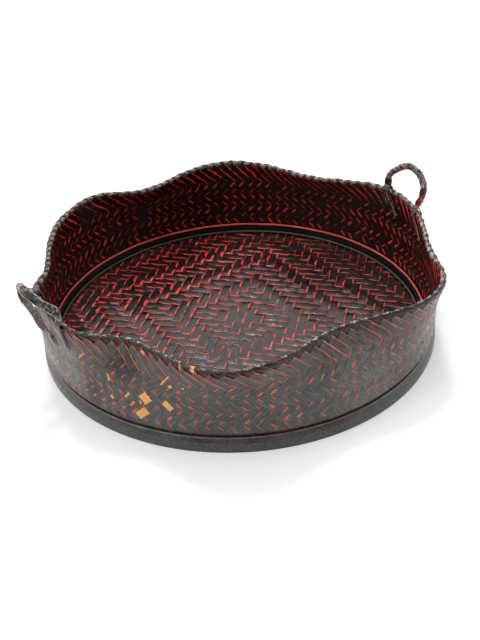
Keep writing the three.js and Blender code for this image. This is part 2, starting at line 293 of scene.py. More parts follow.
# A node group. Inputs are given with their values, and the output "Color" is a colour.
def makeGroup(name, inputs, outputs):
    tree = bpy.data.node_groups.new(name, "ShaderNodeTree")
    kinds = {1: "NodeSocketFloat", 3: "NodeSocketVector", 4: "NodeSocketColor"}
    for key, value in inputs.items():
        socket = tree.interface.new_socket(key, in_out="INPUT", socket_type=kinds[np.size(value)])
        socket.default_value = value
    for key in outputs:
        kind = kinds[4 if key == "Color" else 1]
        tree.interface.new_socket(key, in_out="OUTPUT", socket_type=kind)
    entry, leave = tree.nodes.new("NodeGroupInput"), tree.nodes.new("NodeGroupOutput")
    return tree, Nodes(tree), entry.outputs, leave.inputs


# Factors on a strip's seed that keep the noises of the strips apart
seedSpread = {"mark": 91.7, "ragged": 57.0, "line": 71.0, "fibres": 63.0}

# The noises of the materials. Scales are in cells per unit of the place that they are given. A
# range is where a noise goes from nothing to all, and "detail" how many finer noises it has.
noises = {
    "line": {"scale": 2.0, "range": (0.35, 0.68), "width": (0.0, 1.6), "sides": (-0.1, 0.1)},
    "lacquer": {"detail": 3.0, "finer": 14.0, "tone": (0.38, 0.64), "dull": (0.35, 0.65)},
    "flake": {"scale": 0.9, "detail": 3.0, "shake": 4.0, "fade": 0.25},
    "spot": {"scale": 0.18, "detail": 4.0, "range": (1.1, 0.6)},
    "fibres": {"across": 2.4, "scale": 1.7, "detail": 4.0, "pale": (0.52, 0.72), "deep": (0.47, 0.32)},
    "hoopLine": {"around": 0.35, "drift": 1.0, "driftDetail": 4.0, "share": 0.8, "fade": 0.015,
                 "shown": 2.6, "shownDetail": 3.0, "range": (0.3, 0.62), "tint": 0.6},
    "wear": {"scale": 260.0, "share": 0.9, "tint": 90.0},
    "flecks": {"patches": 110.0, "patchDetail": 1.0, "range": (0.4, 0.58), "scale": 620.0},
    "grain": {"stretch": (0.15, 1.6, 1), "scale": 2.0, "detail": 3.0, "range": (0.35, 0.65)},
    "crest": {"scale": 520.0, "detail": 3.0, "thins": 0.25, "range": (0.3, 0.5)},
}

# The red marks at the edges of a strip, two on each float. Places along a float are in rows,
# of which it has three, and widths in millimetres.
markShape = {
    "middles": (0.62, 2.32),
    "parting": 1.46,  # from here on along the float it is the second mark
    "slide": (-0.12, 0.12),
    "stretch": (0.75, 1.1),
    "sizes": (0.45, 1.2),
    "taper": 0.4,  # the lower, the blunter
    "ragged": 0.7,
    "fade": 0.12,
    "seamShade": (0.84, 0.98),  # shares of the half width where the painted shade at the sides of a strip begins
}


# Distance from the nearer edge of a strip, in millimetres
def fromEdge(n, get):
    return n.times(n.minus(1.0, n.size(get["Across"])), get["Half Width"])


# Red showing where the lacquer is worn off the edges of a strip
def makeEdgeMarks():
    tree, n, get, give = makeGroup("edgeMarks", {
        "Across": 0.0, "Along": 0.0, "Seed": 0.0, "Half Width": 3.0, "Mark Width": 0.8,
        "Half Length": 0.5, "Missing": 0.2, "Other Edge": 0.25, "Other Shift": 0.0, "Shared": 0.0,
    }, ("Mask", "Tint", "Seam"))
    side = n.math("GREATER_THAN", get["Across"], 0.0)
    onTop = n.math("GREATER_THAN", get["Along"], -0.5)
    along = n.plus(get["Along"], n.times(n.minus(1.0, side), get["Other Shift"]))
    second = n.math("GREATER_THAN", along, markShape["parting"])
    own = n.times(side, n.minus(1.0, get["Shared"]))
    key = n.vector(n.times(get["Seed"], seedSpread["mark"]), second, own)
    chance = n.add("TexWhiteNoise", {"Vector": key}, noise_dimensions="3D")
    dice = n.split(chance["Color"])
    place = n.minus(along, n.remap(dice[0], 0.0, 1.0, markShape["slide"]))
    first, last = [n.size(n.minus(place, middle)) for middle in markShape["middles"]]
    length = n.times(n.remap(dice[1], 0.0, 1.0, markShape["stretch"]), get["Half Length"])
    reach = n.math("DIVIDE", n.math("MINIMUM", first, last), length)
    taper = n.math("SUBTRACT", 1.0, n.times(reach, reach), clamp=True)
    taper = n.math("POWER", taper, markShape["taper"])
    size = n.remap(chance["Value"], get["Missing"], 1.0, markShape["sizes"])
    shown = n.times(onTop, n.math("GREATER_THAN", chance["Value"], get["Missing"]))
    width = n.times(n.times(size, shown), get["Mark Width"])
    weaker = n.times(side, n.minus(1.0, get["Other Edge"]))
    width = n.times(width, n.plus(get["Other Edge"], weaker))
    wander = n.vector(n.times(get["Seed"], seedSpread["ragged"]), get["Along"], get["Across"])
    ragged = n.times(n.minus(n.noise(wander, 3.0), 0.5), markShape["ragged"])
    spare = n.minus(n.times(width, n.times(taper, n.plus(1.0, ragged))), fromEdge(n, get))
    n.put(n.remap(spare, 0.0, markShape["fade"]), give["Mask"])
    n.put(dice[2], give["Tint"])
    # painted shade, darkest at a strip's edges where it meets the next
    n.put(n.remap(n.size(get["Across"]), *markShape["seamShade"]), give["Seam"])
    return tree


# The same along a strip that isn't crossed: one thin line of changing width
def makeEdgeLine():
    tree, n, get, give = makeGroup("edgeLine", {
        "Across": 0.0, "Way": 0.0, "Seed": 0.0, "Half Width": 3.0, "Line Width": 0.5, "Other Edge": 0.25,
    }, ["Mask"])
    use = noises["line"]
    wander = n.vector(n.times(get["Seed"], seedSpread["line"]), get["Way"])
    drift = n.remap(n.noise(wander, use["scale"]), *use["range"], use["width"])
    side = n.remap(get["Across"], *use["sides"], (get["Other Edge"], 1.0))
    limit = n.times(n.times(drift, side), get["Line Width"])
    n.put(n.remap(n.minus(limit, fromEdge(n, get)), 0.0, markShape["fade"]), give["Mask"])
    return tree


# Uneven hand-brushed lacquer: a slow and a fine change of tone, gloss and surface
def makeLacquer():
    tree, n, get, give = makeGroup("brushedLacquer", {
        "Seed": 0.0, "Scale": 60.0, "Dark": (0.004, 0.004, 0.004, 1), "Warm": (0.012, 0.006, 0.004, 1),
        "Gloss": 0.2, "Dull": 0.4,
    }, ("Color", "Roughness", "Height"))
    place = n.vectors("ADD", n.place(), n.vector(get["Seed"]))[0]
    use = noises["lacquer"]
    slow = n.noise(place, get["Scale"], use["detail"])
    fine = n.noise(place, n.times(get["Scale"], use["finer"]))
    shares = ((0.4, 0.6), (0.7, 0.3), (0.5, 0.2))  # of slow and fine, in tone, gloss and surface
    tone, dullness, height = [n.plus(n.times(slow, a), n.times(fine, b)) for a, b in shares]
    n.put(n.mix(n.remap(tone, *use["tone"]), get["Dark"], get["Warm"]), give["Color"])
    change = n.times(n.remap(dullness, *use["dull"]), n.minus(get["Dull"], get["Gloss"]))
    n.put(n.plus(get["Gloss"], change), give["Roughness"])
    n.put(height, give["Height"])
    return tree


# A four-sided flake knocked out of the lacquer, at a place on the unrolled wall (millimetres)
def makeFlake():
    tree, n, get, give = makeGroup("flake", {
        "Place": (0, 0, 0), "Middle": (0, 0, 0), "Size": (0, 0, 0), "Turn": 0.0, "Ragged": 0.3,
    }, ["Mask"])
    away = n.vectors("SUBTRACT", get["Place"], get["Middle"])[0]
    spun = n.add("VectorRotate", {"Vector": away, "Angle": get["Turn"]}, rotation_type="Z_AXIS")[0]
    use = noises["flake"]
    rough = n.add("TexNoise", {"Vector": get["Place"], "Scale": use["scale"], "Detail": use["detail"]})
    shake = n.vectors("SUBTRACT", rough["Color"], (0.5, 0.5, 0.5))[0]  # a noise is 0.5 on the mean
    far = n.times(get["Ragged"], use["shake"])
    shake = n.add("VectorMath", {0: shake, "Scale": far}, operation="SCALE")[0]
    size, part = n.split(get["Size"]), n.split(n.vectors("ADD", spun, shake)[0])
    inside = [n.minus(size[k], n.size(part[k])) for k in (0, 1)]
    n.put(n.remap(n.math("MINIMUM", *inside), 0.0, use["fade"]), give["Mask"])
    return tree


# Soft oval with an uneven edge on the unrolled wall
def makeSpot():
    tree, n, get, give = makeGroup("spot", {
        "Place": (0, 0, 0), "Middle": (0, 0, 0), "Size": (0, 0, 0), "Ragged": 0.5}, ["Mask"])
    away = n.vectors("SUBTRACT", get["Place"], get["Middle"])[0]
    reach = n.vectors("LENGTH", n.vectors("DIVIDE", away, get["Size"])[0])["Value"]
    use = noises["spot"]
    rough = n.times(n.minus(n.noise(get["Place"], use["scale"], use["detail"]), 0.5), get["Ragged"])
    n.put(n.remap(n.plus(reach, rough), *use["range"]), give["Mask"])
    return tree


# Fibres of the bamboo, which show as light and dark streaks along a strip
def makeFibres():
    tree, n, get, give = makeGroup("bambooFibres", {
        "Color": (0, 0, 0, 1), "Across": 0.0, "Way": 0.0, "Seed": 0.0, "Light": (0.3, 0.3, 0.3, 1),
        "Dark": (0, 0, 0, 1), "Lighter": 0.4, "Darker": 0.9,
    }, ("Color", "Height"))
    use = noises["fibres"]
    across, seed = n.times(get["Across"], use["across"]), n.times(get["Seed"], seedSpread["fibres"])
    streaks = n.noise(n.vector(across, get["Way"], seed), use["scale"], use["detail"])
    pale = n.times(n.remap(streaks, *use["pale"]), get["Lighter"])
    deep = n.times(n.remap(streaks, *use["deep"]), get["Darker"])
    n.put(n.mix(deep, n.mix(pale, get["Color"], get["Light"]), get["Dark"]), give["Color"])
    n.put(streaks, give["Height"])
    return tree


# Worn line round a turned piece, between two places along its outline (centimetres)
def makeHoopLine():
    tree, n, get, give = makeGroup("hoopLine", {
        "Outline": (0, 0, 0), "Start": 0.0, "End": 0.1, "Faintest": 0.0, "Strongest": 1.0,
    }, ("Mask", "Tint"))
    place = n.split(get["Outline"])
    use = noises["hoopLine"]
    around = n.vector(n.times(place[1], use["around"]))
    width = n.minus(get["End"], get["Start"])
    drift = n.minus(n.noise(around, use["drift"], use["driftDetail"]), 0.5)
    drift = n.times(drift, n.times(width, use["share"]))
    middle = n.plus(n.times(n.plus(get["Start"], get["End"]), 0.5), drift)
    away = n.size(n.minus(place[0], middle))
    inside = n.remap(n.minus(n.times(width, 0.5), away), 0.0, use["fade"])
    shown = n.noise(around, use["shown"], use["shownDetail"])
    shown = n.remap(shown, *use["range"], (get["Faintest"], get["Strongest"]))
    n.put(n.times(inside, shown), give["Mask"])
    n.put(n.noise(around, use["tint"]), give["Tint"])
    return tree


# Wear on the sharp edges of a strip, from a vertex value that is 1 near them
def makeEdgeWear():
    tree, n, get, give = makeGroup("edgeWear", {"Edge": 0.0, "Low": 1.26, "High": 1.42}, ("Mask", "Tint"))
    use = noises["wear"]
    spare = n.plus(get["Edge"], n.times(n.noise(n.place(), use["scale"]), use["share"]))
    n.put(n.remap(spare, get["Low"], get["High"]), give["Mask"])
    n.put(n.noise(n.place(), use["tint"]), give["Tint"])
    return tree


# Fine pale flecks in patches
def makeFlecks():
    tree, n, get, give = makeGroup("paleFlecks", {"Low": 0.5, "High": 0.66}, ["Mask"])
    use = noises["flecks"]
    patches = n.remap(n.noise(n.place(), use["patches"], use["patchDetail"]), *use["range"])
    flecks = n.remap(n.noise(n.place(), use["scale"]), get["Low"], get["High"])
    n.put(n.times(flecks, patches), give["Mask"])
    return tree


edgeMarks, edgeLine, brushedLacquer = makeEdgeMarks(), makeEdgeLine(), makeLacquer()
flake, spot, bambooFibres = makeFlake(), makeSpot(), makeFibres()
hoopLine, edgeWear, paleFlecks = makeHoopLine(), makeEdgeWear(), makeFlecks()

lacquer = {
    # The outside's grey and brown are a lighter lacquer, raised further as painted sheen for the white floor
    # that the wall reflects
    "grey": (0.030, 0.037, 0.034, 1),  # outside: lighter lacquer, raised further as painted sheen
    "brown": (0.088, 0.090, 0.080, 1),
    "black": (0.004, 0.004, 0.0045, 1),  # inside: the lacquer's own black
    "warm": (0.009, 0.006, 0.005, 1),
    "red": (0.76, 0.055, 0.03, 1),
    "orange": (0.85, 0.2, 0.045, 1),
    "crimson": (0.95, 0.018, 0.009, 1),
    "coral": (1.0, 0.17, 0.11, 1),
    # pale: wear and scuffs, and the painted light on the front-left of the outer wall
    "paleWearAndLight": (0.27, 0.28, 0.26, 1),
    # cream: also the painted highlight along the crest of the rim
    "cream": (0.42, 0.40, 0.35, 1),
    "deep": (0.09, 0.006, 0.005, 1),
    "dusky": (0.16, 0.02, 0.012, 1),
    "honey": (0.8, 0.33, 0.07, 1),
    "bare": (0.98, 0.52, 0.15, 1),
}

# How wear, and the painted highlight on the crest of the rim, change the surface: share of the relief's
# height, and roughness added
relief = {"distance": 0.0004, "mark": 0.35, "crest": 0.3, "flake": 0.8}
duller = {"mark": 0.12, "hoopLine": 0.1, "flake": 0.25}

# Damage, and a patch of painted light, on the outer wall. Each flake is azimuth, height, half length, half
# width and turn, in degrees and millimetres; each soft place is azimuth, height and half sizes.
damageAndLight = {
    "flakes": [
        (222.3, 39.5, 3.7, 4.0, 42), (221.2, 26.4, 5.6, 3.0, 42), (228.3, 37.3, 2.6, 4.0, 42),
        (217.1, 38.0, 2.9, 0.9, 55), (211.4, 47.0, 1.0, 2.6, 20), (228.1, 57.6, 5.6, 0.7, 50),
        (229.4, 53.8, 1.6, 1.1, 30), (212.4, 32.2, 1.1, 1.6, 40), (220.9, 35.4, 1.0, 1.3, 20),
        (218.6, 32.2, 3.2, 0.45, 47), (203.2, 57.2, 3.6, 0.6, 50), (221.2, 70.7, 1.8, 0.9, -25),
        (232.8, 72.8, 0.7, 2.2, 0), (235.9, 74.4, 1.4, 2.4, 10), (232.7, 54.7, 0.9, 0.8, 0),
    ],
    "flakeEdge": 0.55,
    "softPlaces": [  # colour, share shown, low and high of the grain, and the places
        ("paleWearAndLight", 0.6, 0.48, 0.62, [(198, 40, 14, 30), (279, 38, 30, 34)]),  # lighter: painted light on the front-left of the wall at 198, scuffed lacquer at 279
        ("black", 0.9, 0.3, 0.5, [(215.5, 56, 15, 11), (206, 30, 9, 14)]),  # stained dark
    ],
    "softEdge": 1.6,
    "grainTurn": -42,
}


def startMaterial(name):
    material = bpy.data.materials.new(name)
    material.use_nodes = True
    tree = material.node_tree
    return material, Nodes(tree), tree.nodes["Principled BSDF"].inputs


def coatInputs(look):
    return {"Scale": look["scale"], "Dark": lacquer[look["dark"]], "Warm": lacquer[look["warm"]],
            "Gloss": look["gloss"], "Dull": look["dull"]}


# The colour that wear shows, between the two of the look
def wornColor(n, look, tint):
    return n.mix(n.remap(tint, *look["tint"]), lacquer[look["mostly"]], lacquer[look["partly"]])


def finishMaterial(n, shader, look, color, rough, height):
    n.put(color, shader["Base Color"])
    n.put(rough, shader["Roughness"])
    shader["Specular IOR Level"].default_value = look.get("specular", 0.5)
    bump = {"Height": height, "Strength": look["bump"], "Distance": relief["distance"]}
    n.put(n.add("Bump", bump)[0], shader["Normal"])


# Flakes, scuffs, stains and a patch of painted light laid over a strip's colour. The soft places spare the
# red marks.
def addDamageAndLight(n, marks, color, rough, height):
    place = n.map("Wall")

    def patch(tree, azimuth, z, long, wide, more):
        middle = (math.radians(azimuth) * footRadius * 1000, z, 0)
        return n.group(tree, {"Place": place, "Middle": middle, "Size": (long, wide, 1), **more})[0]

    use, lean = noises["grain"], (0, 0, math.radians(damageAndLight["grainTurn"]))
    fibres = n.add("Mapping", {"Vector": place, "Rotation": lean, "Scale": use["stretch"]})[0]
    grain = n.noise(fibres, use["scale"], use["detail"])
    for tone, amount, low, high, places in damageAndLight["softPlaces"]:
        for azimuth, z, wide, tall in places:
            soft = patch(spot, azimuth, z, wide, tall, {"Ragged": damageAndLight["softEdge"]})
            shown = n.times(n.times(soft, n.remap(grain, low, high)), amount)
            color = n.mix(n.times(shown, n.minus(1.0, marks)), color, lacquer[tone])
    bare = 0.0
    for azimuth, z, long, wide, turn in damageAndLight["flakes"]:
        more = {"Turn": math.radians(-turn), "Ragged": damageAndLight["flakeEdge"]}
        bare = n.math("MAXIMUM", bare, patch(flake, azimuth, z, long, wide, more))
    bamboo = n.mix(n.remap(grain, *use["range"]), lacquer["honey"], lacquer["bare"])
    color = n.mix(bare, color, bamboo)
    rough = n.plus(rough, n.times(bare, duller["flake"]))
    return color, rough, n.minus(height, n.times(bare, relief["flake"]))


# Painted highlight: a pale line along the crest of the rim, from its middle on a strip's way and half width
def addCrestHighlight(n, way, middle, half, color, height):
    away = n.math("DIVIDE", n.size(n.minus(way, middle)), half)
    use = noises["crest"]
    grain = n.noise(n.place(), use["scale"], use["detail"])
    grain = n.remap(n.minus(grain, n.times(away, use["thins"])), *use["range"])
    # where the painted highlight shows, thinning out away from the middle of the crest
    paleWearAndLight = n.times(grain, n.math("LESS_THAN", away, 1.0))
    return n.mix(paleWearAndLight, color, lacquer["cream"]), n.plus(height, n.times(paleWearAndLight, relief["crest"]))


# Painted light: marks grow wider towards one side of the tray, more red to make up for shade there: its
# azimuth, from where to where, and the most
def paintedLightMarkWidth(n, mark, azimuth, start, end, most):
    worst = (math.cos(math.radians(azimuth)), math.sin(math.radians(azimuth)), 0)
    reach = n.vectors("DOT_PRODUCT", n.place(), worst)["Value"]
    return n.remap(reach, start, end, (mark, most))


# Lacquered strip with worn red edges
def makeStripLacquer(name, look, withDamageAndLight=False):
    material, n, shader = startMaterial(name)
    strip = n.split(n.map("Strip"))
    seed, way = n.vertex("seed"), n.vertex("way")
    coat = n.group(brushedLacquer, {"Seed": seed, **coatInputs(look)})
    # painted light: the marks may widen towards one side, to make up for shade there
    markWidth = paintedLightMarkWidth(n, look["mark"], *look["wearAndLight"]) if "wearAndLight" in look else look["mark"]
    edge = {"Across": strip[0], "Seed": seed, "Half Width": look["halfWidth"],
            "Other Edge": look["otherEdge"]}
    marks = n.group(edgeMarks, {
        **edge, "Along": strip[1], "Mark Width": markWidth, "Half Length": look["long"],
        "Missing": look["missing"], "Other Shift": look["otherShift"], "Shared": look["shared"]})
    line = n.group(edgeLine, {**edge, "Way": way, "Line Width": look["line"]})["Mask"]
    mask = n.math("MAXIMUM", marks["Mask"], n.times(line, n.vertex("uncrossed")))
    plain, height = coat["Color"], coat["Height"]
    if "fibres" in look:
        lighter, darker, depth = look["fibres"]
        fibres = n.group(bambooFibres, {
            "Color": plain, "Across": strip[0], "Way": way, "Seed": seed, "Lighter": lighter,
            "Darker": darker, "Light": lacquer["paleWearAndLight"], "Dark": lacquer["black"]})
        plain = fibres["Color"]
        height = n.plus(height, n.times(fibres["Height"], depth))
    # Painted shade: each strip darkens towards black at its edges, in the gaps between strips
    seamShade = n.times(marks["Seam"], look["seamShade"])
    color = n.mix(mask, n.mix(seamShade, plain, lacquer["black"]), wornColor(n, look, marks["Tint"]))
    rough = n.plus(coat["Roughness"], n.times(mask, duller["mark"]))
    height = n.minus(height, n.times(mask, relief["mark"]))
    # paints the highlight along the crest of the rim
    if "crest" in look:
        color, height = addCrestHighlight(n, way, *look["crest"], color, height)
    if withDamageAndLight:
        color, rough, height = addDamageAndLight(n, mask, color, rough, height)
    finishMaterial(n, shader, look, color, rough, height)
    return material


# Widths are in millimetres and lengths along a float in rows. "tint" is the low and high of
# chance between the two reds, "fibres" is lighter, darker and relief, and the keys that widen the marks
# (painted light) and that place the crest highlight are as at the two functions that read them, the crest in
# centimetres.
stripLooks = {
    "outerWall": {
        # its grey and brown are partly painted sheen
        "dark": "grey", "warm": "brown", "mostly": "red", "partly": "orange", "tint": (0.5, 1.25),
        "scale": 60.0, "gloss": 0.24, "dull": 0.42, "specular": 0.5, "bump": 0.6, "seamShade": 0.7,
        "halfWidth": 3.07, "mark": 0.98, "long": 0.47, "missing": 0.18, "line": 0.6,
        "otherEdge": 1.0, "otherShift": 1.107, "shared": 1.0, "fibres": (0.45, 0.9, 1.0)},
    "innerWall": {
        "dark": "black", "warm": "warm", "mostly": "crimson", "partly": "red", "tint": (0.4, 1.0),
        "scale": 60.0, "gloss": 0.2, "dull": 0.36, "specular": 0.4, "bump": 0.6, "seamShade": 0.9,
        "halfWidth": 3.07, "mark": 1.15, "long": 0.58, "missing": 0.2, "line": 0.85,
        "otherEdge": 1.0, "otherShift": -1.107, "shared": 1.0},
    "rim": {
        "dark": "black", "warm": "grey", "mostly": "red", "partly": "orange", "tint": (0.6, 1.0),
        "scale": 90.0, "gloss": 0.12, "dull": 0.24, "specular": 0.35, "bump": 0.8, "seamShade": 0.9,
        "halfWidth": 3.07, "mark": 0.0, "long": 0.5, "missing": 0.2, "line": 0.4,
        # crest: the painted highlight along the rim, its middle and half width
        "otherEdge": 0.2, "otherShift": 0.0, "shared": 0.0, "crest": (1.48, 0.32)},
    "floor": {
        "dark": "black", "warm": "warm", "mostly": "crimson", "partly": "orange", "tint": (0.66, 1.25),
        "scale": 60.0, "gloss": 0.09, "dull": 0.26, "specular": 0.8, "bump": 0.9, "seamShade": 0.9,
        "halfWidth": 4.1, "mark": 1.5, "long": 0.62, "missing": 0.08, "line": 0.0,
        "otherEdge": 0.25, "otherShift": 0.0, "shared": 0.0, "fibres": (0.18, 0.5, 0.55),
        # painted light: the marks widen towards azimuth 110, more red to make up for the shade the walls cast
        # there
        "wearAndLight": (110, -0.01, 0.1, 2.6)},
}
outerLacquer = makeStripLacquer("outerWallLacquer", stripLooks["outerWall"], withDamageAndLight=True)
innerLacquer = makeStripLacquer("innerWallLacquer", stripLooks["innerWall"])
rimLacquer = makeStripLacquer("rimLacquer", stripLooks["rim"], withDamageAndLight=True)
floorLacquer = makeStripLacquer("floorLacquer", stripLooks["floor"])


# Smooth piece. It may have a red line along its outline, or wear where a vertex value is high.
def makeHoopLacquer(name, look):
    material, n, shader = startMaterial(name)
    coat = n.group(brushedLacquer, coatInputs(look))
    color, rough, height = coat["Color"], coat["Roughness"], coat["Height"]
    wearAndLight = None
    if "flecks" in look:
        low, high = look["flecks"]
        flecks = n.group(paleFlecks, {"Low": low, "High": high})["Mask"]
        color = n.mix(flecks, color, lacquer["paleWearAndLight"])
        height = n.plus(height, flecks)
    if "line" in look:
        wearAndLight = n.group(hoopLine, {
            "Outline": n.map("Outline"), "Start": look["line"][0], "End": look["line"][1],
            "Faintest": look["shown"][0], "Strongest": look["shown"][1]})
    if "edges" in look:
        low, high = look["edges"]
        wearAndLight = n.group(edgeWear, {"Edge": n.vertex("edge"), "Low": low, "High": high})
    if wearAndLight:
        color = n.mix(wearAndLight["Mask"], color, wornColor(n, look, wearAndLight["Tint"]))
        rough = n.plus(rough, n.times(wearAndLight["Mask"], duller["hoopLine"]))
    finishMaterial(n, shader, look, color, rough, height)
    return material


# Plain red-brown lacquer of the layer under the weave and of the core in the rim
hiddenLooks = {
    "backing": {"scale": 80.0, "gloss": 0.45, "dull": 0.6, "dark": "deep", "warm": "dusky", "bump": 0.25},
    "core": {"scale": 80.0, "gloss": 0.3, "dull": 0.5, "dark": "deep", "warm": "dusky", "bump": 0.25},
}
backing = makeHoopLacquer("backingLacquer", hiddenLooks["backing"])
print("materials made")


weave = {
    "strips": 114,  # of each direction, round the tray
    "rowHeight": 0.00408,  # from one crossing to the next, down the wall
    "firstRow": 0.0687,  # height of crossing row 0
    "turnAt": 2.5,  # first row line where the other direction comes on top
    "lastRow": 14.4,
    "floatRows": 3,
    "width": 0.0063,
    "thickness": 0.0004,
    "depth": 0.0003,  # how far a strip goes down where it passes under
    "dip": 0.45,  # rows over which it goes down
    "bow": 0.0001,
    "sunk": 0.00012,  # under the face of the CAD part, so that nothing stands out of it
    "crown": 0.00009,
    "perRow": 4,  # stations on a covering strip
    "crossingStations": 60,
    "tuckDepth": 0.0006,  # of the upper ends under the fold
    "tuckRows": 1.2,
    "leftEdge": -0.3,  # across a strip, from -1 to 1: up to here is its left edge
}
# No two strips are alike: spread of width, of place sideways, of wander and of lean
unevenness = {
    "width": 0.01, "place": 0.00006, "wander": 0.00012, "wanderPerMetre": 170, "lean": 0.00006,
    "phase": 3,  # spread in radians, so that no two strips wander alike
    "leanTurn": 2.1,  # radians per float, of a wave that turns the lean one way or the other
}
columnCross = np.array([-1.0, -0.99, -0.95, -0.65, 0.0, 0.65, 0.95, 0.99, 1.0])
columnDrop = np.array([1.0, 0.0, 0.0, 0.0, 0.0, 0.0, 0.0, 0.0, 1.0])  # share of the thickness
columnCrown = columnCross ** 2

# The way of a strip over the rim: offset and height from the middle of its core, outside first
fold = {
    "path": [(0.0017, -0.00735), (0.00172, -0.005), (0.0018, -0.0032), (0.0025, -0.0019),
             (0.0028, -0.0003), (0.0026, 0.0012), (0.0016, 0.0023), (0, 0.00255), (-0.0014, 0.0023),
             (-0.0023, 0.0012), (-0.0025, -0.0003), (-0.0022, -0.0019), (-0.0017, -0.0032),
             (-0.00155, -0.005), (-0.0015, -0.00735)],
    "steps": 60,
    "wall": (0.075, 0.0005, 150),  # farthest and nearest way beyond the fold, and its steps
    "bead": 0.0045,  # where along the way the bead on the rim begins, from either side
    "beadRamp": 0.002,
    "crown": 0.0009,
    "unevenness": 0.00026,
    "lower": 1.2,  # so many times the unevenness a strip lies lower on the mean
    "lean": 0.00013,
}
foldTop = rimHeight + fold["path"][0][1]
foldRow = (weave["firstRow"] - foldTop) / weave["rowHeight"]
halfPitch = 180 / weave["strips"]  # degrees round per row
stripRun = math.radians(halfPitch) * wallShape["wallLine"]
stripStep = math.hypot(stripRun, weave["rowHeight"])  # length of strip per row


# Table of the whole way from the outer foot to the inner foot: distance up and down again,
# offset, height and the direction in which the strip faces
def makeWay():
    path = np.array(fold["path"])
    length = np.concatenate([[0], np.cumsum(np.hypot(*np.diff(path, axis=0).T))])
    fine = np.linspace(0, length[-1], fold["steps"])
    bend = np.stack([np.interp(fine, length, path[:, k]) for k in (0, 1)])
    for _ in range(3):
        bend[:, 1:-1] = (bend[:, :-2] + 2 * bend[:, 1:-1] + bend[:, 2:]) / 4
    down = np.linspace(*fold["wall"])
    distance = np.concatenate([-down, fine, length[-1] + down[::-1]])
    offset = np.concatenate([np.full(len(down), bend[0, 0]), bend[0], np.full(len(down), bend[0, -1])])
    height = np.concatenate([foldTop - down, rimHeight + bend[1], foldTop - down[::-1]])
    out, up = np.gradient(height, distance), -np.gradient(offset, distance)
    return distance, offset, height, out / np.hypot(out, up), up / np.hypot(out, up), length[-1]


wayDistance, wayOffset, wayHeight, wayOut, wayUp, foldLength = makeWay()


# Mesh of strips from their middle lines: distance along the way and azimuth per station, how
# far each strip stands above or below the face, and a turn of +1 or -1 round the tray.
def wallMesh(name, distance, azimuth, depth, turn, along, values, jitter):
    cross = columnCross * weave["width"] / 2 * perStrip(1 + unevenness["width"] * jitter[:, 0])
    wave = distance * unevenness["wanderPerMetre"] + perStrip(jitter[:, 1]) * unevenness["phase"]
    cross = cross + unevenness["wander"] * np.sin(wave)
    cross = cross + unevenness["place"] * perStrip(jitter[:, 2])
    s = distance + cross * stripRun / stripStep
    around = azimuth - turn * np.degrees(cross * weave["rowHeight"] / stripStep / wallShape["wallLine"])
    offset = np.interp(s, wayDistance, wayOffset) + depth * np.interp(s, wayDistance, wayOut)
    height = np.interp(s, wayDistance, wayHeight) + depth * np.interp(s, wayDistance, wayUp)
    uvs = {"Strip": (columnCross, along), "Wall": (np.radians(around) * footRadius * 1000, height * 1000)}
    return gridMesh(name, wallPoint(around, height, offset), uvs, values, flip=turn < 0)


# Height of a strip: it dips near the ends of a float, and arches where it is seen on top
def overAndUnder(onTop, seen, toEnd, part, look):
    dip = 0.5 * smooth(toEnd / look["dip"])
    over = np.where(onTop, 0.5 + dip, 0.5 - dip)
    arch = np.where(seen, look["bow"] * np.sin(np.pi * np.clip(part, 0, 1)), 0)
    return (over - 1) * look["depth"] + arch - look["sunk"]


# Where a strip is in its floats, from its row: which float, how high, and place in the float
def floats(t, coversRim):
    place = t - weave["turnAt"]
    zone = np.floor(place / weave["floatRows"])
    along = place - zone * weave["floatRows"]
    onTop = (zone % 2 == 0) ^ coversRim
    toEnd = np.where(zone < 0, weave["floatRows"] - along, np.minimum(along, weave["floatRows"] - along))
    seen = onTop & (zone >= 0)
    lift = overAndUnder(onTop, seen, toEnd, along / weave["floatRows"], weave)
    return zone.astype(int), perStation(lift), perStation(np.where(seen, along, -1.0))


# Seeds per column: near its left edge a strip has the seed of its neighbour, near its right its own
def bothSides(seeds, neighbour):
    own, beside = seeds[:, :, None], np.roll(seeds, neighbour, 0)[:, :, None]
    return np.where(columnCross < weave["leftEdge"], beside, own)


# Each float leans to one side or the other
def leaning(jitter, zone):
    wave = np.sin(perStation(zone) * unevenness["leanTurn"] + 1)
    return columnCross * unevenness["lean"] * perStrip(jitter[:, 3]) * wave


